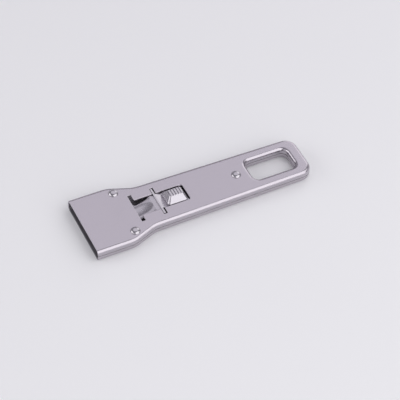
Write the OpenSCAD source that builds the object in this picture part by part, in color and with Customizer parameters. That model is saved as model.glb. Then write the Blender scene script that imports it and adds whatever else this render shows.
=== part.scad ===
// Retractable scraper for ceramic hobs: two pressed steel shells riveted face to face,
// with a blade carriage between them that a sprung thumb button locks and frees.
// X runs along the tool with the blade end at +X, Y across it and Z up. The origin lies
// under the middle of the tool, on the surface that it rests on.
// Places along the tool are given as a distance from the blade end.

/* [Blade] */
// Width of the blade, across the tool
blade_w = 39; // [36:0.5:45]
// Depth of the blade, from its edge to its back
blade_l = 19; // [17:0.5:21]
// Thickness of the blade
blade_t = 0.25; // [0.2:0.05:0.4]
// Length of the ground bevel behind the edge
bevel_l = 1.4; // [0.8:0.1:2]
// How far the edge stands back inside the mouth at rest
blade_back = 1.6; // [1:0.1:2.5]
// Play between the blade and each side wall
blade_gap = 0.7; // [0.4:0.1:1]
// Height of the blade over the floor, which clears the floor's rounded corners
blade_lift = 0.35; // [0.3:0.05:0.5]
// Length of the slot in the middle of the blade, across the tool
blade_slot_w = 12; // [8:0.5:14]
// Width of that slot, along the tool
blade_slot_l = 4; // [3:0.5:5]

/* [Shells] */
// Overall length of the body
body_l = 134; // [126:1:146]
// Width of the handle where the neck ends
handle_w = 31; // [29:0.5:33]
// Width of the handle at its tail
tail_w = 28; // [26:0.5:30]
// Height of the body over both shells
body_t = 7.5; // [7:0.1:8.5]
// Thickness of the shells' sheet
sheet_t = 0.8; // [0.6:0.05:1]
// Outer radius of the pressed edges
edge_r = 2.2; // [1.8:0.1:2.6]
// Corner radius of the tail
tail_r = 7; // [5:0.5:9]
// Gap at the seam where the shells meet
seam_gap = 0.1; // [0.05:0.05:0.3]

/* [Neck] */
// Length of the head's parallel sides
head_l = 19.3; // [18:0.1:21]
// Angle of the neck's flanks
neck_a = 21; // [18:1:26]
// Radius of both bends of the neck
neck_r = 16; // [12:0.5:18]

/* [Hang hole] */
// Clear length of the hole
hole_l = 26.2; // [22:0.1:29]
// Clear width of the hole
hole_w = 15.3; // [13:0.1:17]
// Corner radius of the clear hole
hole_r = 3.6; // [2.5:0.1:5]
// Distance from the tail's end to the clear hole
hole_back = 7.4; // [6.5:0.1:9]

/* [Rivets] */
// Shank diameter of the shells' rivets
rivet_d = 3.2; // [2.8:0.1:3.6]
// Diameter of the domed heads
rivet_head_d = 5.5; // [5:0.1:6]
// Height of the domed heads
rivet_head_h = 1.2; // [0.8:0.1:1.5]
// Outer diameter of the bushes that keep the shells apart
bush_d = 5; // [4.4:0.1:5.6]
// Distance from the blade end to the front pair
front_rivet_s = 24.4; // [24:0.1:27]
// Distance from the head's side to the front pair
rivet_inset = 6; // [5.6:0.1:6.6]
// Distance from the tail's end to the rear rivet
rear_rivet_back = 41.8; // [39:0.1:45]
// Radial clearance of a shank in its hole
rivet_fit = 0.05; // [0.03:0.01:0.08]

/* [Carriage] */
// Travel of the carriage from one notch to the other
stroke = 13.1; // [12:0.1:14]
// Thickness of the carrier plate
carrier_t = 1; // [0.8:0.05:1.2]
// Length of blade that stands out in front of the carrier plate
blade_over = 9; // [7:0.1:10]
// Distance from the blade end to the rear end of the carrier
carrier_end = 64; // [61:0.5:68]
// Distance from the blade end to the front of the side flanges
flange_front = 30; // [28:0.5:34]
// Clearance of the carriage in its guides
guide_gap = 0.3; // [0.2:0.05:0.4]
// Clearance between the blade and the carrier
blade_fit = 0.08; // [0.05:0.01:0.12]
// Diameter of the pegs that hold the blade
peg_d = 3.4; // [3:0.1:4]
// Step of a peg from its shank out to its foot, and out again to its head
peg_step = 0.4; // [0.3:0.05:0.5]
// Thickness of a peg's head
peg_head_h = 0.5; // [0.3:0.05:0.7]
// How far a peg's foot stands out below the blade
peg_foot = 0.2; // [0.1:0.05:0.25]
// Distance of the pegs from the blade's sides
peg_inset = 8.5; // [6.5:0.5:11]
// Distance from the blade's back to the pegs
peg_back = 5.8; // [5:0.1:7]

/* [Lock spring] */
// Thickness of the spring strip
spring_t = 0.6; // [0.5:0.05:0.8]
// Distance from the blade end to the bend at the spring's root
root_bend = 26.7; // [25:0.1:28]
// Length of the flat root on the carrier
root_l = 6.2; // [5.5:0.1:7]
// Distance from the blade end to the front of the locking ears
ear_front = 43.85; // [42:0.05:46]
// Length of the ears, along the tool
ear_l = 1.15; // [1:0.05:1.4]
// Span of the ears, across the tool
ear_span = 19.4; // [18:0.1:21]
// Play in front of an ear in its notch
ear_gap = 0.15; // [0.1:0.05:0.3]
// Play behind an ear in its notch
ear_play = 0.7; // [0.4:0.1:1]
// Play at the ends of the ears
ear_end_gap = 0.4; // [0.3:0.1:0.8]
// Drop from the crest of the spring to the plate under the button
plate_drop = 1.3; // [1.1:0.05:1.5]
// Run of the slope behind the crest
plate_slope = 3.4; // [3:0.1:4.2]
// Depth of the upright step in front of the crest, which bears on the notch
crest_step = 0.95; // [0.9:0.05:1.1]
// Length of the level landing in front of that step
landing_l = 2.2; // [1.5:0.1:3]
// Gap between the strip and the sides of the window
strip_gap = 0.3; // [0.2:0.05:0.5]
// Width of the stiffening groove pressed into the strip
groove_w = 7.2; // [5:0.1:7.6]
// Depth of that groove
groove_h = 0.35; // [0.2:0.05:0.4]
// Shank diameter of the two rivets at the spring's root
root_rivet_d = 2.4; // [2:0.1:2.8]
// Head diameter of those rivets
root_head_d = 4.2; // [3.6:0.1:4.6]
// Height of their heads
root_head_h = 0.7; // [0.5:0.1:0.9]

/* [Thumb button] */
// Length of the button's foot
button_l = 12; // [11.4:0.1:12.4]
// Width of the button's foot
button_w = 10.6; // [9.5:0.1:11.5]
// Length of the button's top
button_top_l = 8; // [7.6:0.1:8.6]
// Width of the button's top
button_top_w = 6.9; // [6:0.1:7.6]
// Height of the button above the shell
button_rise = 2.8; // [2.4:0.1:3.4]
// Height of the button's upright foot
button_skirt = 0.9; // [0.8:0.1:1.4]
// Corner radius of the button's foot
foot_r = 1.6; // [1.2:0.1:2.4]
// Thickness of the button's sheet
button_t = 0.6; // [0.5:0.05:0.8]
// Run of the front slope of the button
button_lean = 2.2; // [1.6:0.1:2.6]
// Width of the tabs that hold the button on the spring
tab_l = 2.4; // [1.8:0.1:2.8]
// How far the tabs are folded in under the spring
tab_fold = 1.4; // [1:0.1:2]
// Number of ribs on the top
ribs = 5; // [3:1:6]
// Distance between ribs
rib_pitch = 1.6; // [1.4:0.05:1.7]
// Height of the ribs
rib_h = 0.3; // [0.2:0.05:0.4]
// Gap between the button and the sides of the window
window_gap = 0.6; // [0.4:0.05:0.9]
// Gap behind the button at rest
window_back = 0.9; // [0.8:0.1:1.6]
// Corner radius at the rear end of the window
window_r = 1.2; // [0.6:0.1:1.8]

/* [Hidden] */
$fn = 48;

// Steps of the arcs in the outlines and of the pressed edges
neck_steps = 5;
corner_steps = 6;
edge_steps = 5;
// How far a cut runs past what it cuts
over = 1;

head_w = blade_w + 2 * (blade_gap + sheet_t);
front_x = body_l / 2;
split_z = body_t / 2;
floor_z = sheet_t;
ceiling_z = body_t - sheet_t;

// Levels of the carriage, from the floor up
blade_z = floor_z + blade_lift;
carrier_z = blade_z + blade_t + blade_fit;
carrier_top = carrier_z + carrier_t;

// Neck and taper of the outline
flank_l = (head_w / 2 - handle_w / 2 - 2 * neck_r * (1 - cos(neck_a))) / sin(neck_a);
flank_s = head_l + neck_r * sin(neck_a);
neck_end = flank_s + flank_l * cos(neck_a) + neck_r * sin(neck_a);
taper_a = atan((handle_w - tail_w) / 2 / (body_l - neck_end));

// Front pair of rivets, and the stem of the carrier that runs between their bushes
front_rivet_y = head_w / 2 - rivet_inset;
stem_w = 2 * min(front_rivet_y - bush_d / 2 - guide_gap, handle_w / 2 - sheet_t - edge_r);
seat_w = blade_w - 2;
seat_front = blade_back + blade_over;
seat_end = blade_back + blade_l;
peg_s = seat_end - peg_back;
peg_y = blade_w / 2 - peg_inset;

// Window and notches of the top shell, round the button and the ears
notch_l = ear_gap + ear_l + ear_play;
notch_w = ear_span + 2 * ear_end_gap;
rest_notch = ear_front - ear_gap;
front_notch = rest_notch - stroke;
button_front = ear_front + ear_l + plate_slope + 0.2;
button_end = button_front + button_l;
window_w = button_w + 2 * window_gap;
window_end = button_end + window_back;
plate_z = body_t - plate_drop;
plate_end = button_end + 0.4;
strip_w = window_w - 2 * strip_gap;

// Play round the tabs in the spring's notches
tab_play = 0.1;
// Half the distance between the rivets of the spring's root
root_rivet_y = button_w / 4;

// Point of the tool at a distance s from its blade end
function at(s, y = 0, z = 0) = [front_x - s, y, z];

// Points on an arc about c, measured from the Y axis towards the tail
function arc(c, r, a0, a1, n) =
    [for (i = [0:n]) let (a = a0 + (a1 - a0) * i / n) c + r * [sin(a), cos(a)]];

// One side of the body's outline as [s, y], moved inwards by d
function side(d, front) =
    let (
        drop = neck_r * (1 - cos(neck_a)) + flank_l * sin(neck_a),
        bend_1 = [head_l, head_w / 2 - neck_r],
        flank_end = [flank_s + flank_l * cos(neck_a), head_w / 2 - drop],
        bend_2 = flank_end + neck_r * [sin(neck_a), cos(neck_a)],
        corner_s = body_l - tail_r,
        side_y = bend_2[1] - neck_r / cos(taper_a) - (corner_s - bend_2[0]) * tan(taper_a),
        corner = [corner_s, side_y - tail_r / cos(taper_a)]
    )
    concat(
        [[front, head_w / 2 - d]],
        arc(bend_1, neck_r - d, 0, neck_a, neck_steps),
        arc(bend_2, -(neck_r + d), neck_a, taper_a, neck_steps),
        arc(corner, tail_r - d, taper_a, 90, corner_steps)
    );

// One side of a rounded rectangle from s0 to s1, as [s, y]
function half_rectangle(s0, s1, w, r) =
    concat(
        arc([s0 + r, w / 2 - r], r, -90, 0, corner_steps),
        arc([s1 - r, w / 2 - r], r, 0, 90, corner_steps)
    );

// Closed loop at height z through one side and its mirror image
function loop(half, z) =
    concat(
        [for (p = half) at(p[0], p[1], z)],
        [for (i = [len(half) - 1:-1:0]) at(half[i][0], -half[i][1], z)]
    );

// Heights and insets of a pressed edge of radius r on a sheet whose outer radius is edge_r,
// for a shell that ends at height low
function edge_levels(r, low, top) =
    concat(
        [[low, edge_r - r]],
        [for (i = [0:edge_steps]) let (a = 90 * i / edge_steps)
            [top - r + r * sin(a), edge_r - r * cos(a)]]
    );

// Solid through a stack of loops from the lowest up, closed by strips across the tool
module loft(loops) {
    n = len(loops[0]);
    last = (len(loops) - 1) * n;
    walls = [for (k = [0:len(loops) - 2], i = [0:n - 1]) let (j = (i + 1) % n)
        each [[k * n + i, (k + 1) * n + i, (k + 1) * n + j], [k * n + i, (k + 1) * n + j, k * n + j]]];
    floors = [for (i = [0:n / 2 - 2]) [i, i + 1, n - 2 - i, n - 1 - i]];
    roofs = [for (i = [0:n / 2 - 2]) [last + i, last + n - 1 - i, last + n - 2 - i, last + i + 1]];
    polyhedron(points = [for (l = loops) each l], faces = concat(walls, floors, roofs));
}

// Pressed pan that stands on the seam, with the hang hole rolled down through it
module pan() {
    low = split_z + seam_gap / 2;
    hole_s0 = body_l - hole_back - hole_l;
    hole_s1 = body_l - hole_back;
    difference() {
        loft([for (l = edge_levels(edge_r, low, body_t)) loop(side(l[1], 0), l[0])]);
        difference() {
            loft([for (l = edge_levels(edge_r - sheet_t, low - over, ceiling_z))
                loop(side(l[1], -over), l[0])]);
            loft([for (l = concat(edge_levels(edge_r - sheet_t, low - 2 * over, ceiling_z),
                    [[ceiling_z + sheet_t / 2, edge_r]]))
                loop(half_rectangle(hole_s0 - l[1], hole_s1 + l[1], hole_w + 2 * l[1], hole_r + l[1]), l[0])]);
        }
        loft([for (l = concat(edge_levels(edge_r, low - over, body_t), [[body_t + over, edge_r]]))
            loop(half_rectangle(hole_s0 - l[1], hole_s1 + l[1], hole_w + 2 * l[1], hole_r + l[1]), l[0])]);
    }
}

// Places its children at the three rivets
module at_rivets() {
    for (y = [-front_rivet_y, front_rivet_y]) translate(at(front_rivet_s, y)) children();
    translate(at(body_l - rear_rivet_back)) children();
}

// Flat outline from s0 to s1 with rounded corners
module slot(s0, s1, w, r) {
    polygon([for (p = loop(half_rectangle(s0, s1, w, r), 0)) [p[0], p[1]]]);
}

module top_shell() {
    color("silver") difference() {
        pan();
        translate([0, 0, ceiling_z - over]) linear_extrude(sheet_t + 2 * over) union() {
            slot(front_notch, window_end, window_w, window_r);
            slot(front_notch, front_notch + notch_l, notch_w, 0.3);
            slot(rest_notch, rest_notch + notch_l, notch_w, 0.3);
        }
        at_rivets() translate([0, 0, ceiling_z - over])
            cylinder(d = rivet_d + 2 * rivet_fit, h = sheet_t + 2 * over);
    }
}

module bottom_shell() {
    sink = sheet_t;
    color("silver") difference() {
        translate([0, 0, 2 * split_z]) mirror([0, 0, 1]) pan();
        at_rivets() {
            translate([0, 0, -over]) cylinder(d = rivet_d + 2 * rivet_fit, h = sheet_t + 2 * over);
            translate([0, 0, -over])
                cylinder(d1 = rivet_d + 2 * (rivet_fit + sink + over), d2 = rivet_d + 2 * rivet_fit,
                    h = sink + over);
        }
    }
}

// Domed head on top and a flush countersunk tail below
module shell_rivet() {
    dome_r = (pow(rivet_head_d / 2, 2) + pow(rivet_head_h, 2)) / (2 * rivet_head_h);
    cylinder(d = rivet_d, h = body_t);
    cylinder(d1 = rivet_d + 2 * sheet_t, d2 = rivet_d, h = sheet_t);
    translate([0, 0, body_t]) intersection() {
        translate([0, 0, rivet_head_h - dome_r]) sphere(dome_r);
        cylinder(d = 2 * rivet_head_d, h = 2 * rivet_head_h);
    }
}

module front_rivet(y) {
    color("gainsboro") translate(at(front_rivet_s, y)) shell_rivet();
}

module rear_rivet() {
    color("gainsboro") translate(at(body_l - rear_rivet_back)) shell_rivet();
}

// Tube that keeps the shells apart round a rivet
module bush() {
    translate([0, 0, floor_z]) difference() {
        cylinder(d = bush_d, h = ceiling_z - floor_z);
        translate([0, 0, -over])
            cylinder(d = rivet_d + 2 * rivet_fit, h = ceiling_z - floor_z + 2 * over);
    }
}

module guide_bush(y) {
    color("darkgray") translate(at(front_rivet_s, y)) bush();
}

module rear_spacer() {
    color("darkgray") translate(at(body_l - rear_rivet_back)) bush();
}

// Places its children at the two rivets of the spring's root
module at_root_rivets() {
    for (y = [-root_rivet_y, root_rivet_y]) translate(at(root_bend - root_l / 2, y)) children();
}

module blade_carrier() {
    flange_top = ceiling_z - guide_gap;
    corner_r = 1;
    color("lightsteelblue") difference() {
        union() {
            translate([0, 0, carrier_z]) linear_extrude(carrier_t) union() {
                slot(seat_front, seat_end, seat_w, 1.5);
                slot(seat_front, carrier_end, stem_w, corner_r);
            }
            for (k = [0, 1]) mirror([0, k, 0])
                translate(at(carrier_end - corner_r, stem_w / 2 - carrier_t, carrier_z))
                    cube([carrier_end - corner_r - flange_front, carrier_t, flange_top - carrier_z]);
        }
        for (y = [-peg_y, peg_y]) translate(at(peg_s, y, carrier_z - over))
            cylinder(d = peg_d - 2 * peg_step + 2 * rivet_fit, h = carrier_t + 2 * over);
        at_root_rivets() translate([0, 0, carrier_z - over])
            cylinder(d = root_rivet_d + 2 * rivet_fit, h = carrier_t + 2 * over);
    }
}

module blade() {
    color("slategray") difference() {
        translate([0, blade_w / 2, 0]) rotate([90, 0, 0]) linear_extrude(blade_w) polygon([
            [front_x - blade_back, blade_z + blade_t],
            [front_x - blade_back - bevel_l, blade_z],
            [front_x - seat_end, blade_z],
            [front_x - seat_end, blade_z + blade_t]
        ]);
        for (y = [-peg_y, peg_y]) translate(at(peg_s, y, blade_z - over))
            cylinder(d = peg_d + 2 * rivet_fit, h = blade_t + 2 * over);
        translate([0, 0, blade_z - over]) linear_extrude(blade_t + 2 * over)
            slot(peg_s - blade_slot_l / 2, peg_s + blade_slot_l / 2, blade_slot_w, 1);
    }
}

// Stepped peg: its foot passes through the blade and its head lies on the carrier
module blade_peg(y) {
    translate(at(peg_s, y)) color("gainsboro") {
        translate([0, 0, blade_z - peg_foot]) cylinder(d = peg_d, h = carrier_z - blade_z + peg_foot);
        translate([0, 0, carrier_z]) cylinder(d = peg_d - 2 * peg_step, h = carrier_t);
        translate([0, 0, carrier_top]) cylinder(d = peg_d + 2 * peg_step, h = peg_head_h);
    }
}

// Closed outline of a strip of thickness t below a line of points
function strip(line, t) =
    let (
        n = len(line),
        heading = [for (i = [0:n - 2]) let (v = line[i + 1] - line[i]) atan2(v[1], v[0])],
        lower = [for (i = [0:n - 1])
            let (
                a = heading[max(i - 1, 0)],
                b = heading[min(i, n - 2)],
                reach = t / cos((b - a) / 2),
                m = (a + b) / 2
            )
            line[i] + reach * [sin(m), -cos(m)]]
    )
    concat(line, [for (i = [n - 1:-1:0]) lower[i]]);

module lock_spring() {
    root_z = carrier_top + spring_t;
    ear_end = ear_front + ear_l;
    landing = [ear_front - 0.05 - landing_l, body_t - crest_step];
    ramp_a = atan2(landing[1] - root_z, landing[0] - root_bend);
    ramp_l = norm(landing - [root_bend, root_z]);
    groove_s0 = 3.5 + groove_w / 2;
    groove_s1 = ramp_l - 0.6 - groove_w / 2;
    rim = 0.4;
    // Outline of the groove, grown by d and drawn on the plane of the ramp
    module groove(d) {
        mirror([1, 0, 0]) {
            translate([groove_s0, -groove_w / 2 - d]) square([groove_s1 - groove_s0, groove_w + 2 * d]);
            for (s = [groove_s0, groove_s1]) translate([s, 0]) circle(groove_w / 2 + d);
        }
    }
    // Places its children on the ramp, with Z square to it
    module on_ramp() {
        translate(at(root_bend, 0, root_z)) rotate([0, ramp_a, 0]) children();
    }
    // The top of the strip from its root to its rear end, as [s, z]
    line = [
        [root_bend - root_l, root_z],
        [root_bend, root_z],
        landing,
        [ear_front - 0.05, body_t - crest_step],
        [ear_front, body_t],
        [ear_end, body_t],
        [ear_end + plate_slope, plate_z],
        [plate_end, plate_z]
    ];
    color("lightslategray") difference() {
        union() {
            translate([front_x, strip_w / 2, 0]) rotate([90, 0, 0]) mirror([1, 0, 0])
                linear_extrude(strip_w) polygon(strip(line, spring_t));
            translate(at(ear_end, -ear_span / 2, body_t - spring_t)) cube([ear_l, ear_span, spring_t]);
            on_ramp() translate([0, 0, -spring_t - groove_h]) linear_extrude(spring_t) groove(rim);
        }
        on_ramp() translate([0, 0, -groove_h]) linear_extrude(spring_t) groove(0);
        at_root_rivets() translate([0, 0, carrier_top - over])
            cylinder(d = root_rivet_d + 2 * rivet_fit, h = spring_t + 2 * over);
        // Notches in the edges for the button's tabs
        at_tabs() translate([-tab_l / 2 - tab_play, button_w / 2 - button_t - tab_play, plate_z - over])
            cube([tab_l + 2 * tab_play, button_t + over, 2 * over]);
    }
}

// Flat head on the spring, flush tail in the carrier
module spring_rivet(y) {
    color("gainsboro") translate(at(root_bend - root_l / 2, y, carrier_z)) {
        cylinder(d = root_rivet_d, h = carrier_t + spring_t);
        translate([0, 0, carrier_t + spring_t]) cylinder(d = root_head_d, h = root_head_h);
    }
}

// Places its children at the four tabs that hold the button on the spring
module at_tabs() {
    for (k = [0, 1], s = [0.35, 0.65]) mirror([0, k, 0])
        translate(at(button_front + s * button_l)) children();
}

// Loop of the button at height z: k runs from 0 at the foot to 1 at the top
function button_loop(k, z, inset) =
    let (
        top_r = 1,
        top_s = button_front + button_lean,
        s0 = button_front + (top_s - button_front) * k + inset,
        s1 = button_end + (top_s + button_top_l - button_end) * k - inset,
        w = button_w + (button_top_w - button_w) * k - 2 * inset,
        r = foot_r - (foot_r - top_r) * k - 0.6 * inset
    )
    loop(half_rectangle(s0, s1, w, r), z);

module thumb_button() {
    top_z = body_t + button_rise;
    top_s = button_front + button_lean;
    mid_s = top_s + button_top_l / 2;
    skirt_z = plate_z + button_skirt;
    round_h = 0.35;
    color("silver") {
        difference() {
            loft([
                button_loop(0, plate_z, 0),
                button_loop(0, skirt_z, 0),
                button_loop(1, top_z - round_h, 0),
                button_loop(1, top_z - 0.1, 0.15),
                button_loop(1, top_z, 0.45)
            ]);
            loft([
                button_loop(0, plate_z - over, button_t),
                button_loop(0, skirt_z - button_t / 2, button_t),
                button_loop(1, top_z - button_t, button_t)
            ]);
        }
        for (i = [0:ribs - 1])
            translate(at(mid_s + (i - (ribs - 1) / 2) * rib_pitch, 0, top_z + rib_h - 0.5))
                rotate([90, 0, 0]) cylinder(r = 0.5, h = button_top_w - 1.4, center = true);
        // Tabs through the spring's edges, folded in beneath it
        at_tabs() {
            translate([-tab_l / 2, button_w / 2 - button_t, plate_z - spring_t - button_t])
                cube([tab_l, button_t, spring_t + button_t]);
            translate([-tab_l / 2, button_w / 2 - button_t - tab_fold, plate_z - spring_t - button_t])
                cube([tab_l, tab_fold + button_t, button_t]);
        }
    }
}

top_shell();
bottom_shell();
front_rivet(-front_rivet_y);  // front_rivet_left
front_rivet(front_rivet_y);  // front_rivet_right
rear_rivet();
guide_bush(-front_rivet_y);  // guide_bush_left
guide_bush(front_rivet_y);  // guide_bush_right
rear_spacer();
blade_carrier();
blade();
blade_peg(-peg_y);  // blade_peg_left
blade_peg(peg_y);  // blade_peg_right
lock_spring();
spring_rivet(-root_rivet_y);  // spring_rivet_left
spring_rivet(root_rivet_y);  // spring_rivet_right
thumb_button();
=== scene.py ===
"""A retractable scraper for ceramic hobs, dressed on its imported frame.

Two pressed shells of satin stainless steel are riveted face to face. A sprung leaf with a raised,
ribbed thumb button comes up through the window of the upper shell and locks the blade carriage.
Places on the tool are given in millimetres: s from the blade end, y across, z up.
"""
import math
import bmesh
import bpy
from mathutils import Matrix, Vector
from mathutils.geometry import tessellate_polygon


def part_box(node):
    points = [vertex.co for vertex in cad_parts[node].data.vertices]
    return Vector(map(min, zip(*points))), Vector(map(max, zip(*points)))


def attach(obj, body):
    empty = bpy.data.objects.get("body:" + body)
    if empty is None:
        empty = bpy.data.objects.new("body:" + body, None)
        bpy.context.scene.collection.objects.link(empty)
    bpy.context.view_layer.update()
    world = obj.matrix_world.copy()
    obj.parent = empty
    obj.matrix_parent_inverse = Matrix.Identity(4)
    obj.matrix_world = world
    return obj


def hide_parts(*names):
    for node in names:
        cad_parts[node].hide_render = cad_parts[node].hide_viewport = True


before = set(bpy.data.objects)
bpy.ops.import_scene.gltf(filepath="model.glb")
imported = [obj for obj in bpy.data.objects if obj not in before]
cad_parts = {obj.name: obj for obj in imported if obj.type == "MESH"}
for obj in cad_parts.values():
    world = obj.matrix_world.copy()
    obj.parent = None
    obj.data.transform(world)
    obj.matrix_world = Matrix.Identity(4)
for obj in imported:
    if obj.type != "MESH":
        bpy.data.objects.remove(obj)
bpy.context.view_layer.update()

MM = 0.001
# Points of a mesh closer than this are one, in metres
WELD = 1e-7


def extent(node):
    """Lowest and highest corner of a node of the frame, in millimetres."""
    low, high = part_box(node)
    return Vector(low) / MM, Vector(high) / MM


# The body, taken from the frame
shell_low, shell_high = extent("top_shell")
BLADE_END = shell_high.x
BODY_L = shell_high.x - shell_low.x
HEAD_W = shell_high.y - shell_low.y
BODY_T = shell_high.z

# The pressed sheet. The real gap at the seam is about 0.1 mm, too fine to show, so it is drawn
# wider.
SHEET = 0.8
EDGE_R = 2.2
SEAM_GAP = 0.3
LIP_R = 0.08
EDGE_STEPS = 9
LIP_STEPS = 4

# The broken edges of all but the rivets and the button
BROKEN = 0.06
BROKEN_ANGLE = math.radians(40)

# The outline of the body: head, neck, handle and tail
HEAD_L = 19.3
HANDLE_W = 31.0
TAIL_W = 28.0
TAIL_R = 7.0
NECK_R = 16.0
NECK_ANGLE = math.radians(21)
NECK_STEPS = 14
TAIL_STEPS = 14

# The hang hole
HOLE_FRONT = 100.4
HOLE_BACK = 126.6
HOLE_W = 15.3
HOLE_R = 3.6

# The rivets of the body and their holes. A head is level over HEAD_LEVEL of its radius, and its
# upright rim is HEAD_RIM high.
RIVETS = ("front_rivet_left", "front_rivet_right", "rear_rivet")
RIVET_HOLE_R = 1.65
RIVET_SINK_R = 2.45
RIVET_EDGE_R = 0.05
SHANK_R = 1.6
HEAD_RIM = 0.1
HEAD_LEVEL = 0.25

# The window and its notches
FRONT_NOTCH = 30.6
REST_NOTCH = 43.7
NOTCH_L = 2.0
NOTCH_W = 20.2
NOTCH_R = 0.35
WINDOW_W = 11.8
WINDOW_END = 61.5
WINDOW_R = 1.2

# A pressed cut: its drawn-in upper edge, and the flat margins round it above and below
CUT_R = 0.3
CUT_STEPS = 5
CUT_MARGIN = 0.04
UNDER_MARGIN = 0.15


# Lines and outlines

def arc(centre, r, start, end, steps):
    """Points on an arc, with the angle measured from +y towards the tail."""
    turn = [start + (end - start) * i / steps for i in range(steps + 1)]
    return [(centre[0] + r * math.sin(a), centre[1] + r * math.cos(a)) for a in turn]


def body_side(inset):
    """The +y side of the body's outline from the blade end to the tail, moved in by inset."""
    sin_n, cos_n = math.sin(NECK_ANGLE), math.cos(NECK_ANGLE)
    flank = (HEAD_W / 2 - HANDLE_W / 2 - 2 * NECK_R * (1 - cos_n)) / sin_n
    flank_end = (HEAD_L + NECK_R * sin_n + flank * cos_n,
                 HEAD_W / 2 - NECK_R * (1 - cos_n) - flank * sin_n)
    neck_end = flank_end[0] + NECK_R * sin_n
    taper = math.atan((HANDLE_W - TAIL_W) / 2 / (BODY_L - neck_end))
    inner_bend = (neck_end, flank_end[1] + NECK_R * cos_n)
    corner_s = BODY_L - TAIL_R
    side_y = inner_bend[1] - NECK_R / math.cos(taper) - (corner_s - neck_end) * math.tan(taper)
    corner = (corner_s, side_y - TAIL_R / math.cos(taper))
    return ([(0, HEAD_W / 2 - inset)]
            + arc((HEAD_L, HEAD_W / 2 - NECK_R), NECK_R - inset, 0, NECK_ANGLE, NECK_STEPS)
            + arc(inner_bend, -(NECK_R + inset), NECK_ANGLE, taper, NECK_STEPS)
            + arc(corner, TAIL_R - inset, taper, math.pi / 2, TAIL_STEPS))


def both_sides(side):
    """A line and its mirror image, joined at their far ends."""
    return side + [(s, -y) for s, y in reversed(side)]


def rounded(corners, radius, steps=5, closed=True):
    """A line of straight runs through corners, each bend rounded to radius."""
    count = len(corners)
    line = []
    for i, corner in enumerate(corners):
        if not closed and i in (0, count - 1):
            line.append(tuple(corner))
            continue
        here = Vector(corner)
        back = (Vector(corners[i - 1]) - here).normalized()
        ahead = (Vector(corners[(i + 1) % count]) - here).normalized()
        r = radius[i] if isinstance(radius, (list, tuple)) else radius
        half = math.acos(max(-1, min(1, back.dot(ahead)))) / 2
        centre = here + (back + ahead).normalized() * (r / math.sin(half))
        start = here + back * (r / math.tan(half)) - centre
        end = here + ahead * (r / math.tan(half)) - centre
        sweep = start.angle_signed(end)
        for k in range(steps + 1):
            turn = -sweep * k / steps
            line.append(tuple(centre + Matrix.Rotation(turn, 2) @ start))
    return line


def grown(loop, d):
    """A closed loop moved outwards by d."""
    count = len(loop)
    area = sum(loop[i - 1][0] * loop[i][1] - loop[i][0] * loop[i - 1][1] for i in range(count))
    side = d if area > 0 else -d
    sharpest = 0.3
    out = []
    for i, point in enumerate(loop):
        a = (Vector(point) - Vector(loop[i - 1])).normalized()
        b = (Vector(loop[(i + 1) % count]) - Vector(point)).normalized()
        normal = Vector((a.y + b.y, -a.x - b.x)).normalized()
        lean = normal.dot(Vector((a.y, -a.x)))
        out.append(tuple(Vector(point) + normal * (side / max(sharpest, lean))))
    return out


def box_loop(s0, s1, width, r, steps=10):
    """A rounded rectangle from s0 to s1."""
    corners = [(s0, -width / 2), (s0, width / 2), (s1, width / 2), (s1, -width / 2)]
    return rounded(corners, r, steps)


def stretch(a, b, longest):
    """Points between a and b, without either, no further apart than longest."""
    count = max(1, math.ceil(math.dist(a, b) / longest))
    return [tuple(Vector(a).lerp(Vector(b), i / count)) for i in range(1, count)]


def circle(centre, r, steps=32):
    """Points round a circle."""
    return [(centre[0] + r * math.cos(2 * math.pi * i / steps),
             centre[1] + r * math.sin(2 * math.pi * i / steps)) for i in range(steps)]


# Meshes

def at(s, y, z):
    """A point of the tool, in metres."""
    return Vector((BLADE_END - s, y, z)) * MM


def ring(bm, line, z):
    """The vertices of a line of (s, y) points at height z."""
    return [bm.verts.new(at(s, y, z)) for s, y in line]


def bridge(bm, a, b, closed=True):
    """Quads between two lines of as many points."""
    count = len(a)
    for i in range(count if closed else count - 1):
        j = (i + 1) % count
        bm.faces.new((a[i], a[j], b[j], b[i]))


def skin(bm, rings, closed=True):
    """Quads from each ring to the next."""
    for a, b in zip(rings, rings[1:]):
        bridge(bm, a, b, closed)


def flat(bm, outer, holes=()):
    """A flat face with holes in it, as triangles."""
    loops = [outer, *holes]
    verts = [v for loop in loops for v in loop]
    triangles = tessellate_polygon([[v.co for v in loop] for loop in loops])
    return [bm.faces.new([verts[i] for i in triangle]) for triangle in triangles]


def lathe(bm, profile, centre, steps=48):
    """A body of revolution about the z axis through centre, from (radius, z) points."""
    rings = []
    for r, z in profile:
        if r == 0:
            rings.append([bm.verts.new(at(centre[0], centre[1], z))])
        else:
            rings.append(ring(bm, circle(centre, r, steps), z))
    for a, b in zip(rings, rings[1:]):
        if len(a) == 1 or len(b) == 1:
            tip, edge = (a[0], b) if len(a) == 1 else (b[0], a)
            for i in range(steps):
                bm.faces.new((tip, edge[i], edge[(i + 1) % steps]))
        else:
            bridge(bm, a, b)


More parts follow.
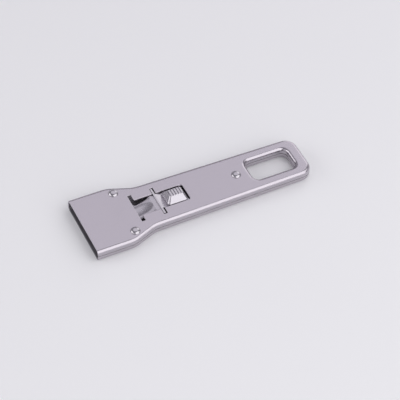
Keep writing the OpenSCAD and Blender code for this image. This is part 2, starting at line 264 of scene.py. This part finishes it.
def piece(name, bm, material, body, nodes, edge=BROKEN, inside=None):
    """Finishes a mesh as a piece that rides on body and stands for nodes of the frame.

    edge is the width of its broken edges, inside the material of the faces with index 1.
    """
    bmesh.ops.remove_doubles(bm, verts=bm.verts, dist=WELD)
    bmesh.ops.recalc_face_normals(bm, faces=bm.faces)
    mesh = bpy.data.meshes.new(name)
    bm.to_mesh(mesh)
    bm.free()
    mesh.shade_smooth()
    mesh.materials.append(material)
    if inside:
        mesh.materials.append(inside)
    obj = bpy.data.objects.new(name, mesh)
    bpy.context.scene.collection.objects.link(obj)
    if edge:
        bevel = obj.modifiers.new("broken edges", "BEVEL")
        bevel.width = edge * MM
        bevel.segments = 2
        bevel.limit_method = "ANGLE"
        bevel.angle_limit = BROKEN_ANGLE
    obj.modifiers.new("even shading", "WEIGHTED_NORMAL").keep_sharp = True
    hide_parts(*nodes)
    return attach(obj, body)


# Materials

def linear(code):
    """An sRGB hex colour as linear red, green, blue and alpha."""
    parts = [int(code[i:i + 2], 16) / 255 for i in (1, 3, 5)]
    return [p / 12.92 if p <= 0.04045 else ((p + 0.055) / 1.055) ** 2.4 for p in parts] + [1]


def node(tree, kind, links=(), **settings):
    """Adds a node: settings are its properties or inputs, links its inputs from other sockets."""
    new = tree.nodes.new(kind)
    for key, value in settings.items():
        if hasattr(new, key):
            setattr(new, key, value)
        else:
            new.inputs[key.replace("_", " ")].default_value = value
    for key, source in dict(links).items():
        tree.links.new(source, new.inputs[key])
    return new


# A line of the grain is this many times as long as it is wide
LINE_RATIO = 60
# Width of the faint patches that rolling and polishing leave, in millimetres
PATCH = 100 / 7


def steel(name, light, dark, roughness, spread, grain, direction, depth):
    """Stainless steel with a grain of fine lines, and faint patches of more and less gloss.

    light and dark are the two tones of the grain, spread is how far the roughness varies,
    grain is the pitch of the lines in millimetres, direction the axis that they run along, and
    depth their height in millimetres.
    """
    material = bpy.data.materials.new(name)
    material.use_nodes = True
    tree = material.node_tree
    shader = tree.nodes["Principled BSDF"]
    shader.inputs["Metallic"].default_value = 1
    place = node(tree, "ShaderNodeTexCoord").outputs["Object"]
    across = 1 / (grain * MM)
    scale = [across, across, across]
    scale["XYZ".index(direction)] = across / LINE_RATIO
    lines = node(tree, "ShaderNodeMapping", {"Vector": place}, Scale=scale).outputs[0]
    fine = node(tree, "ShaderNodeTexNoise", {"Vector": lines}, Scale=1, Detail=3, Roughness=0.6)
    patches = node(tree, "ShaderNodeTexNoise", {"Vector": place}, Scale=1 / (PATCH * MM), Detail=2)
    tone = node(tree, "ShaderNodeMix", {"Factor": fine.outputs["Fac"]}, data_type="RGBA")
    tone.inputs["A"].default_value = linear(dark)
    tone.inputs["B"].default_value = linear(light)
    tree.links.new(tone.outputs["Result"], shader.inputs["Base Color"])
    both = node(tree, "ShaderNodeMath", {0: fine.outputs["Fac"], 1: patches.outputs["Fac"]},
                operation="ADD")
    # The two patterns together run from about 0.6 to 1.4
    gloss = node(tree, "ShaderNodeMapRange", {"Value": both.outputs[0]}, From_Min=0.6,
                 From_Max=1.4, To_Min=roughness - spread, To_Max=roughness + spread)
    tree.links.new(gloss.outputs[0], shader.inputs["Roughness"])
    bump = node(tree, "ShaderNodeBump", {"Height": fine.outputs["Fac"]}, Distance=depth * MM)
    tree.links.new(bump.outputs[0], shader.inputs["Normal"])
    return material


# Real polishing and rolling lines lie about 0.02 to 0.05 mm apart, too fine to show, so every
# grain here is drawn 0.08 to 0.3 mm apart.

# Brushed along the tool: an even, faintly warm grey on the flats that breaks into long bright and
# dark bands on the turned edges
SHELL_STEEL = steel("satin stainless sheet", "#C7C1C8", "#BDB8BF",
                    0.22, 0.03, 0.12, "X", 0.0006)
# As it left the rolls: a dull, rougher grey, darkened as painted shade so it stays dark behind the
# window and in the mouth
SHADE_PAINTED_INSIDE_STEEL = steel("unpolished inside of the sheet with painted shade", "#B4B1B6", "#A6A3A9",
                     0.5, 0.05, 0.12, "X", 0.001)
# Headed and polished: a small sharp spark on each dome and a dark ring round it
RIVET_STEEL = steel("polished rivet steel", "#C8C4C9", "#BEBAC0",
                    0.17, 0.03, 0.25, "Z", 0.0004)
# Cold rolled and bent: soft gradients in the pressed trough and a pale crest
SPRING_STEEL = steel("bright rolled spring strip", "#C7C3C9", "#BDB9C0",
                     0.26, 0.03, 0.15, "X", 0.0003)
# Pressed and polished: walls that turn nearly white in the light and ribs with crisp dark sides
BUTTON_STEEL = steel("polished pressed cap", "#C4C0C6", "#BAB6BD",
                     0.15, 0.03, 0.3, "Y", 0.0003)
# Left as rolled: a flat, even grey without any highlight
CARRIER_STEEL = steel("plain rolled sheet", "#C4C1C7", "#B5B2B9",
                      0.48, 0.06, 0.2, "X", 0.0008)
# Cut on a lathe: a darker grey with fine rings
BUSH_STEEL = steel("turned bush steel", "#A8A6AB", "#96949A",
                   0.35, 0.05, 0.1, "Z", 0.0008)
# Cut on a lathe and left plain: heads that stay light in the shade of the mouth
PEG_STEEL = steel("plain turned peg steel", "#C8C5CA", "#B8B5BB",
                  0.5, 0.05, 0.1, "Z", 0.0008)
# Ground across its width: a cool grey with a fine streak towards the edge
BLADE_STEEL = steel("ground blade steel", "#B9BABF", "#A3A5AB",
                    0.25, 0.05, 0.08, "Y", 0.0006)


# Pieces

def shell_levels(r, low, top, lip=0.0):
    """Insets and heights of a pressed edge of radius r, from the seam up to the flat.

    lip rounds the edge at the seam, as trimming in the press leaves it.
    """
    bend = [math.pi / 2 * i / EDGE_STEPS for i in range(EDGE_STEPS + 1)]
    trim = [math.pi / 2 * i / LIP_STEPS for i in range(LIP_STEPS + 1)]
    return ([(EDGE_R - r + lip * (1 - math.sin(a)), low + lip * (1 - math.cos(a))) for a in trim]
            + [(EDGE_R - r * math.cos(a), top - r + r * math.sin(a)) for a in bend])


def shell(name, node_name, upper, window):
    """A pressed shell with its rolled hang hole. window is a loop to cut, or None.

    All heights are those of the upper shell, and up turns them over for the lower one.
    """
    bm = bmesh.new()
    seam = BODY_T / 2 + SEAM_GAP / 2

    def up(z):
        """The height z of the upper shell, or its mirror image."""
        return z if upper else BODY_T - z

    def rings(line_at, levels):
        """One ring of the outline for each level of the edge."""
        return [ring(bm, line_at(inset), up(z)) for inset, z in levels]

    outer_levels = shell_levels(EDGE_R, seam, BODY_T, LIP_R)
    inner_levels = shell_levels(EDGE_R - SHEET, seam, BODY_T - SHEET)

    def outline(inset):
        """The body's outline, open at the mouth."""
        return both_sides(body_side(inset))

    def hole(inset):
        """The hang hole's outline, which grows as the body's shrinks."""
        return box_loop(HOLE_FRONT - inset, HOLE_BACK + inset, HOLE_W + 2 * inset, HOLE_R + inset)

    outer, inner = rings(outline, outer_levels), rings(outline, inner_levels)
    roll_outer, roll_inner = rings(hole, outer_levels), rings(hole, inner_levels)
    skin(bm, inner, closed=False)
    skin(bm, roll_inner)
    # The inner faces take the inside steel, whose darker tone is painted shade
    for face in bm.faces:
        face.material_index = 1
    skin(bm, outer, closed=False)
    bridge(bm, outer[0], inner[0], closed=False)
    skin(bm, roll_outer)
    bridge(bm, roll_outer[0], roll_inner[0])
    # The cut face round the mouth
    mouth_outer = [r[0] for r in outer] + [r[-1] for r in reversed(outer)]
    mouth_inner = [r[0] for r in inner] + [r[-1] for r in reversed(inner)]
    bridge(bm, mouth_outer, mouth_inner, closed=False)
    # Rivet holes, countersunk in the lower shell, and the window
    cuts = []
    for rivet in RIVETS:
        low, high = extent(rivet)
        centre = (BLADE_END - (low.x + high.x) / 2, (low.y + high.y) / 2)
        mouth_r = RIVET_HOLE_R if upper else RIVET_SINK_R
        cuts.append((circle(centre, mouth_r), circle(centre, RIVET_HOLE_R), RIVET_EDGE_R))
    if window:
        cuts.append((window, window, CUT_R))
    top_holes, ceiling_holes = [roll_outer[-1]], [roll_inner[-1]]
    for face_loop, ceiling_loop, edge in cuts:
        # A pressed cut has a softly drawn-in upper edge
        turn = [math.pi / 2 * i / CUT_STEPS for i in range(CUT_STEPS + 1)]
        rings_down = [ring(bm, grown(face_loop, edge + CUT_MARGIN), up(BODY_T))]
        rings_down += [ring(bm, grown(face_loop, edge * (1 - math.sin(a))),
                            up(BODY_T - edge * (1 - math.cos(a)))) for a in turn]
        rings_down += [ring(bm, ceiling_loop, up(BODY_T - SHEET)),
                       ring(bm, grown(ceiling_loop, UNDER_MARGIN), up(BODY_T - SHEET))]
        skin(bm, rings_down)
        top_holes.append(rings_down[0])
        ceiling_holes.append(rings_down[-1])
    flat(bm, outer[-1], top_holes)
    # The ceiling takes the inside steel too, darker as painted shade
    for face in flat(bm, inner[-1], ceiling_holes):
        face.material_index = 1
    return piece(name, bm, SHELL_STEEL, "housing", [node_name], inside=SHADE_PAINTED_INSIDE_STEEL)


def window_loop():
    """The window with its two pairs of notches, rounder at its tail end."""
    half = [(FRONT_NOTCH, NOTCH_W / 2), (FRONT_NOTCH + NOTCH_L, NOTCH_W / 2),
            (FRONT_NOTCH + NOTCH_L, WINDOW_W / 2), (REST_NOTCH, WINDOW_W / 2),
            (REST_NOTCH, NOTCH_W / 2), (REST_NOTCH + NOTCH_L, NOTCH_W / 2),
            (REST_NOTCH + NOTCH_L, WINDOW_W / 2), (WINDOW_END, WINDOW_W / 2)]
    radii = [NOTCH_R] * 7 + [WINDOW_R]
    return rounded(both_sides(half), radii + radii[::-1])


def rivet(name, node_name):
    """A domed head with a fine upright rim, the shank, and a flush tail with a punch mark."""
    low, high = extent(node_name)
    centre = (BLADE_END - (low.x + high.x) / 2, (low.y + high.y) / 2)
    head_r = (high.x - low.x) / 2
    # The dome falls to the rim on an arc from a small level patch
    height = high.z - BODY_T - HEAD_RIM
    level = HEAD_LEVEL * head_r
    run = head_r - level
    dome_r = (run ** 2 + height ** 2) / (2 * height)
    steps = 10
    turn = [math.asin(run / dome_r) * i / steps for i in range(steps + 1)]
    dome = [(level + dome_r * math.sin(a), high.z - dome_r + dome_r * math.cos(a)) for a in turn]
    shank = [(head_r - 0.02, BODY_T), (SHANK_R, BODY_T - 0.01), (SHANK_R, SHEET)]
    tail = [(2.38, 0.06), (2.3, 0.01)]
    punch_mark = [(0.7, 0.01), (0.45, 0.12), (0, 0.15)]
    bm = bmesh.new()
    lathe(bm, [(0, high.z)] + dome + shank + tail + punch_mark, centre)
    return piece(name, bm, RIVET_STEEL, "housing", [node_name], edge=0)


# The leaf: its places along the tool
ROOT = 20.5
ROOT_BEND = 26.7
LANDING = 41.6
EAR_FRONT = 43.85
EAR_END = 45.0
PLATE_FRONT = 48.4
PLATE_END = 61.0

# Its widths, thickness and heights. The riser to the ears leans back by RISER.
LEAF_W = 11.2
EAR_SPAN = 19.4
LEAF_T = 0.6
ROOT_Z = 3.08
STEP_Z = 6.55
RISER = 0.05
CREST_DROP = 0.15
PLATE_Z = 6.2

# Its bends in order from the root, on the upper and the lower face, drawn in BEND_STEPS. STATION
# is the longest step along the straight runs, and COLUMNS lie across the middle.
UPPER_BENDS = [0, 3.0, 2.2, 0.1, 0.12, 8.0, 1.2, 0]
LOWER_BENDS = [0, 3.6, 1.6, 0.15, 0.1, 7.4, 1.8, 0]
BEND_STEPS = 6
STATION = 0.5
COLUMNS = 24

# The trough pressed into its ramp. Each end is GROOVE_END times as long as it is wide.
GROOVE_W = 7.6
GROOVE_H = 0.62
GROOVE_RISE = 0.15
GROOVE_START = 0.5
GROOVE_STOP = 0.2
GROOVE_END = 1.9
MARGIN_DROP = 0.3
MARGIN_RUN = 1.6

# The notches in its sides for the button's tabs
TAB_S = (52.8, 56.4)
TAB_L = 2.6
TAB_DEPTH = 1.0


def pressed_depth(s, y):
    """How far the ramp is pressed down: a trough with round ends, and turned-down margins."""
    half = GROOVE_W / 2
    first = ROOT_BEND + GROOVE_START + half
    last = LANDING - GROOVE_STOP - GROOVE_END * half
    away = math.hypot((s - min(max(s, first), last)) / GROOVE_END, y) / half
    along = min(max(min(s - ROOT_BEND, LANDING - s) / MARGIN_RUN, 0), 1)
    margin = MARGIN_DROP * along * max(0, abs(y) - half) / (LEAF_W / 2 - half)
    # Near the root it stays shallow, which keeps the pushed leaf off the carrier
    deepest = max(0.0, GROOVE_RISE * (s - ROOT_BEND))
    return min(GROOVE_H * max(0.0, 1 - away ** 2) + margin, deepest)


def lock_leaf():
    """The sprung leaf: a strip with bends, its two ears and the notches for the button's tabs."""
    corners = [(ROOT, ROOT_Z), (ROOT_BEND, ROOT_Z), (LANDING, STEP_Z),
               (EAR_FRONT - RISER, STEP_Z), (EAR_FRONT, BODY_T), (EAR_END, BODY_T - CREST_DROP),
               (PLATE_FRONT, PLATE_Z), (PLATE_END, PLATE_Z)]
    headings = [math.atan2(b[1] - a[1], b[0] - a[0]) for a, b in zip(corners, corners[1:])]
    lower = []
    for i, (s, z) in enumerate(corners):
        a, b = headings[max(i - 1, 0)], headings[min(i, len(headings) - 1)]
        reach = LEAF_T / math.cos((b - a) / 2)
        lower.append((s + reach * math.sin((a + b) / 2), z - reach * math.cos((a + b) / 2)))
    tops = rounded(corners, UPPER_BENDS, BEND_STEPS, closed=False)
    unders = rounded(lower, LOWER_BENDS, BEND_STEPS, closed=False)
    # Stations closer together along the straight runs, on both faces alike
    top, under = [tops[0]], [unders[0]]
    bend_ends = [k * (BEND_STEPS + 1) for k in range(len(corners) - 1)]
    for i in range(1, len(tops)):
        if i - 1 in bend_ends:
            if i == len(tops) - 1:
                stops = sorted(s + side * TAB_L / 2 for s in TAB_S for side in (-1, 1))
                more_top = [(s, PLATE_Z) for s in stops]
                more_under = [(s, PLATE_Z - LEAF_T) for s in stops]
            else:
                more_top = stretch(tops[i - 1], tops[i], STATION)
                a, b = Vector(unders[i - 1]), Vector(unders[i])
                more_under = [tuple(a.lerp(b, (k + 1) / (len(more_top) + 1)))
                              for k in range(len(more_top))]
            top += more_top
            under += more_under
        top.append(tops[i])
        under.append(unders[i])
    # Columns of cells across the leaf: an ear and a notch's depth on each side of the middle ones
    inner = LEAF_W / 2 - TAB_DEPTH
    middle = [-inner + 2 * inner * k / COLUMNS for k in range(COLUMNS + 1)]
    edges = [-EAR_SPAN / 2, -LEAF_W / 2, *middle, LEAF_W / 2, EAR_SPAN / 2]
    last = len(edges) - 2
    ear_low, ear_back = BODY_T - 0.45, EAR_END + 0.02
    crest = [i for i, (s, z) in enumerate(top) if z > ear_low and s < ear_back]

    def there(i, j):
        """Whether the strip has a cell at station i and column j."""
        if j in (0, last):
            return crest[0] <= i < crest[-1]
        if j in (1, last - 1):
            cell_s = (top[i][0] + top[i + 1][0]) / 2
            return not any(abs(cell_s - s) < TAB_L / 2 for s in TAB_S)
        return True

    bm = bmesh.new()
    grid = {}

    def corner(i, j, lower_face):
        """The vertex at a corner of the cells, made once."""
        key = (i, j, lower_face)
        if key not in grid:
            s, z = (under if lower_face else top)[i]
            grid[key] = bm.verts.new(at(s, edges[j], z - pressed_depth(s, edges[j])))
        return grid[key]

    cells = {(i, j) for i in range(len(top) - 1) for j in range(last + 1) if there(i, j)}
    # A cell's edge towards each neighbour, which is closed where there is none
    square = ((0, 0), (1, 0), (1, 1), (0, 1))
    sides = {(-1, 0): ((0, 0), (0, 1)), (1, 0): ((1, 0), (1, 1)),
             (0, -1): ((0, 0), (1, 0)), (0, 1): ((0, 1), (1, 1))}
    for i, j in cells:
        for lower_face in (False, True):
            bm.faces.new([corner(i + a, j + b, lower_face) for a, b in square])
        for (di, dj), (a, b) in sides.items():
            if (i + di, j + dj) not in cells:
                start, end = (i + a[0], j + a[1]), (i + b[0], j + b[1])
                bm.faces.new([corner(*start, False), corner(*end, False),
                              corner(*end, True), corner(*start, True)])
    return piece("lock_leaf", bm, SPRING_STEEL, "button", ["lock_spring"])


# The thumb button
BUTTON_FRONT = 48.6
BUTTON_END = 60.6
BUTTON_W = 10.6
TOP_FRONT = 50.8
TOP_L = 8.0
TOP_W = 4.8
TOP_Z = 10.3
SKIRT_Z = 7.1
FOOT_R = 1.6
TOP_R = 1.0
CORNER_SHRINK = 0.6
BUTTON_T = 0.6
RIM = 0.35
FOOT_BEND = 0.25
TOP_BEND = 0.5
BUTTON_STEPS = 120
TOP_COLUMNS = 16

# Its ribs. They stand a little low, to stay within the tool's height, and end on the rim.
RIBS = 5
RIB_PITCH = 1.6
RIB_H = 0.3
RIB_SINK = 0.02
RIB_RUN = 0.25

# Its tabs, folded in under the leaf with a little play
TAB_W = 2.4
TAB_REACH = 2.0
TAB_BEND = 0.7
TAB_PLAY = 0.01


def button_outline(k, inset):
    """The button's outline, from its foot at k = 0 to its top at k = 1, moved in by inset."""
    s0 = BUTTON_FRONT + (TOP_FRONT - BUTTON_FRONT) * k + inset
    s1 = BUTTON_END + (TOP_FRONT + TOP_L - BUTTON_END) * k - inset
    w = BUTTON_W + (TOP_W - BUTTON_W) * k - 2 * inset
    r = FOOT_R - (FOOT_R - TOP_R) * k - CORNER_SHRINK * inset
    corner_steps = 10
    front = arc((s0 + r, w / 2 - r), r, -math.pi / 2, 0, corner_steps)
    rear = arc((s1 - r, w / 2 - r), r, 0, math.pi / 2, corner_steps)
    # A hair over the even step, so that rounding never adds a point
    step = (s1 - s0 - 2 * r) / BUTTON_STEPS * 1.001
    return both_sides(front + stretch(front[-1], rear[0], step) + rear)


def button_cap():
    """The hollow cap: an upright foot, sloping sides, a soft rim, and ribs across its top."""
    bm = bmesh.new()
    slope = (BUTTON_W - TOP_W) / 2
    profile = rounded([(0, PLATE_Z), (0, SKIRT_Z), (slope, TOP_Z), (slope + RIM, TOP_Z)],
                      [0, FOOT_BEND, TOP_BEND, 0], BEND_STEPS, closed=False)
    # Two more lines on the wall keep the ribs' shading off it
    wall = BEND_STEPS + 2
    foot_end, top_start = Vector(profile[wall - 1]), Vector(profile[wall])
    profile[wall:wall] = [tuple(foot_end.lerp(top_start, f)) for f in (0.05, 0.95)]
    inside = [(BUTTON_T, PLATE_Z), (BUTTON_T, SKIRT_Z - BUTTON_T / 2),
              (slope + BUTTON_T, TOP_Z - BUTTON_T)]

    def outline(x, thickness=0.0):
        """The cap's outline at x across from its foot, or inside its wall."""
        across = x - thickness
        return button_outline(min(across / slope, 1), max(across - slope, 0) + thickness)

    def rib(s):
        """Height of the ribs' wave above the top."""
        from_middle = s - TOP_FRONT - TOP_L / 2
        if abs(from_middle) > RIBS * RIB_PITCH / 2:
            return 0
        return RIB_H * (1 + math.cos(2 * math.pi * from_middle / RIB_PITCH)) / 2 - RIB_SINK

    def outer_ring(x, z):
        """A ring of the outside, on which the wave fades out below the top."""
        rise = max(0, (z - TOP_Z + RIB_RUN) / RIB_RUN)
        return [bm.verts.new(at(s, y, z + rise * rib(s))) for s, y in outline(x)]

    rings = [outer_ring(x, z) for x, z in profile]
    skin(bm, rings)
    inner = [ring(bm, outline(x, BUTTON_T), z) for x, z in inside]
    skin(bm, inner)
    bridge(bm, rings[0], inner[0])
    roof, top = inner[-1], rings[-1]
    count = len(top)
    for i in range(count // 2 - 1):
        bm.faces.new((roof[i], roof[i + 1], roof[count - 2 - i], roof[count - 1 - i]))
    # The ribbed top, as rows from one side to the other
    rows = []
    for i in range(count // 2):
        a, b = top[i], top[count - 1 - i]
        s, half = BLADE_END - a.co.x / MM, a.co.y / MM
        ys = [half * math.cos(math.pi * j / TOP_COLUMNS) for j in range(1, TOP_COLUMNS)]
        rows.append([a] + [bm.verts.new(at(s, y, TOP_Z + rib(s))) for y in ys] + [b])
    skin(bm, rows, closed=False)
    # Each tab is drawn across the tool, down its outside and back up its inside
    out_y, in_y, tip_y = BUTTON_W / 2, BUTTON_W / 2 - BUTTON_T, BUTTON_W / 2 - TAB_REACH
    low_z, fold_z = PLATE_Z - LEAF_T - BUTTON_T, PLATE_Z - LEAF_T - TAB_PLAY
    hook = rounded([(out_y, PLATE_Z), (out_y, low_z), (tip_y, low_z)], [0, TAB_BEND, 0],
                   closed=False)
    fold = rounded([(in_y, PLATE_Z), (in_y, fold_z), (tip_y, fold_z)],
                   [0, TAB_BEND - BUTTON_T, 0], closed=False)
    line = hook + fold[::-1]
    for s in TAB_S:
        for side in (-1, 1):
            ends = [[bm.verts.new(at(s + half, side * y, z)) for y, z in line]
                    for half in (-TAB_W / 2, TAB_W / 2)]
            bridge(bm, ends[0], ends[1])
            for end in ends:
                bm.faces.new(end)
    return piece("ribbed_button", bm, BUTTON_STEEL, "button", ["thumb_button"], edge=0)


shell("upper_shell", "top_shell", upper=True, window=window_loop())
shell("lower_shell", "bottom_shell", upper=False, window=None)
for rivet_node in RIVETS:
    rivet("domed_" + rivet_node, rivet_node)
lock_leaf()
button_cap()

# Pieces of the frame that keep their own mesh
KEPT = {"blade_carrier": CARRIER_STEEL, "blade": BLADE_STEEL, "guide_bush_left": BUSH_STEEL,
        "guide_bush_right": BUSH_STEEL, "rear_spacer": BUSH_STEEL, "blade_peg_left": PEG_STEEL,
        "blade_peg_right": PEG_STEEL, "spring_rivet_left": RIVET_STEEL,
        "spring_rivet_right": RIVET_STEEL}
for name, material in KEPT.items():
    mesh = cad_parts[name].data
    for slot in range(len(mesh.materials)):
        mesh.materials[slot] = material


# Floor, light and camera

FLOOR_HALF = 3.0
FLOOR_DROP = 0.0001


def pale_floor():
    """Matt pale paper just under the tool, which takes its shadow."""
    mesh = bpy.data.meshes.new("floor")
    bm = bmesh.new()
    bmesh.ops.create_grid(bm, x_segments=1, y_segments=1, size=FLOOR_HALF)
    bm.to_mesh(mesh)
    bm.free()
    floor = bpy.data.objects.new("floor", mesh)
    floor.location.z = -FLOOR_DROP
    bpy.context.scene.collection.objects.link(floor)
    # Uncoated paper: nearly white, with no sheen of its own
    material = bpy.data.materials.new("pale paper")
    material.use_nodes = True
    tree = material.node_tree
    shader = tree.nodes["Principled BSDF"]
    shader.inputs["Base Color"].default_value = linear("#F8F8F9")
    shader.inputs["Roughness"].default_value = 0.9
    shader.inputs["Specular IOR Level"].default_value = 0.1
    mesh.materials.append(material)


def softbox(name, direction, distance, size, radiance, tint="#FFFFFF"):
    """A rectangular soft light that faces the tool from direction, distance metres away.

    size is its width and height in metres, and radiance the brightness of its face, where 1 is
    white.
    """
    light = bpy.data.lights.new(name, "AREA")
    light.shape = "RECTANGLE"
    light.size, light.size_y = size
    light.energy = radiance * math.pi * size[0] * size[1]
    light.color = linear(tint)[:3]
    lamp = bpy.data.objects.new(name, light)
    lamp.location = Vector(direction).normalized() * distance
    lamp.rotation_euler = Vector(direction).to_track_quat("Z", "Y").to_euler()
    bpy.context.scene.collection.objects.link(lamp)


def studio_world():
    """Pale at the horizon and greyer overhead, so that bent steel shows its form."""
    world = bpy.data.worlds.new("studio")
    world.use_nodes = True
    bpy.context.scene.world = world
    tree = world.node_tree
    ground = tree.nodes["Background"]
    place = node(tree, "ShaderNodeTexCoord").outputs["Generated"]
    height = node(tree, "ShaderNodeSeparateXYZ", {"Vector": place}).outputs["Z"]
    ramp = node(tree, "ShaderNodeValToRGB", {"Fac": height})
    stops = ((0.0, "#B4B2B8"), (0.15, "#A6A4AA"), (0.35, "#95939A"), (1.0, "#918F96"))
    elements = ramp.color_ramp.elements
    elements[0].color, elements[1].color = linear(stops[0][1]), linear(stops[-1][1])
    for position, tone in stops[1:-1]:
        elements.new(position).color = linear(tone)
    tree.links.new(ramp.outputs["Color"], ground.inputs["Color"])
    ground.inputs["Strength"].default_value = 1.0


def photo_camera():
    """The photograph's camera: azimuth from +X, elevation, distance to its aim, lens and roll."""
    azimuth, elevation, roll = math.radians(63.02), math.radians(47.56), math.radians(2.04)
    distance, lens = 0.931, 152.2
    aim = Vector((-0.26, 5.95, 3.75)) * MM
    back = Vector((math.cos(elevation) * math.cos(azimuth), math.cos(elevation) * math.sin(azimuth),
                   math.sin(elevation)))
    right = Vector((0, 0, 1)).cross(back).normalized()
    upright = Matrix((right, back.cross(right), back)).transposed()
    camera = bpy.data.objects.new("camera", bpy.data.cameras.new("camera"))
    camera.matrix_world = (Matrix.Translation(aim + back * distance)
                           @ (upright @ Matrix.Rotation(roll, 3, "Z")).to_4x4())
    camera.data.lens = lens
    camera.data.sensor_width = 36
    camera.data.sensor_fit = "HORIZONTAL"
    camera.data.clip_start = 0.01
    bpy.context.scene.collection.objects.link(camera)
    bpy.context.scene.camera = camera


pale_floor()
studio_world()
# From the photograph's camera the flats mirror the far sky, the near edges the near side, and the
# slope from the crest down to the button the far tail. The last lamp is for views from behind.
softbox("far sky", (-0.235, -0.4415, 0.866), 1.1, (1.06, 0.90), 0.60, "#FBF9FF")
softbox("near side", (-0.27, 0.74, 0.616), 0.95, (1.2, 1.25), 1.25)
softbox("tail side", (-0.78, 0.23, 0.58), 0.9, (0.36, 0.40), 0.8)
softbox("blade side", (0.826, -0.334, 0.454), 0.9, (0.75, 0.45), 1.4)
softbox("far tail", (-0.70, -0.587, 0.407), 0.9, (0.55, 0.45), 0.95)
softbox("blade near side", (0.80, 0.33, 0.5), 0.9, (0.6, 0.5), 0.55)
photo_camera()
bpy.context.scene.view_settings.view_transform = "Standard"
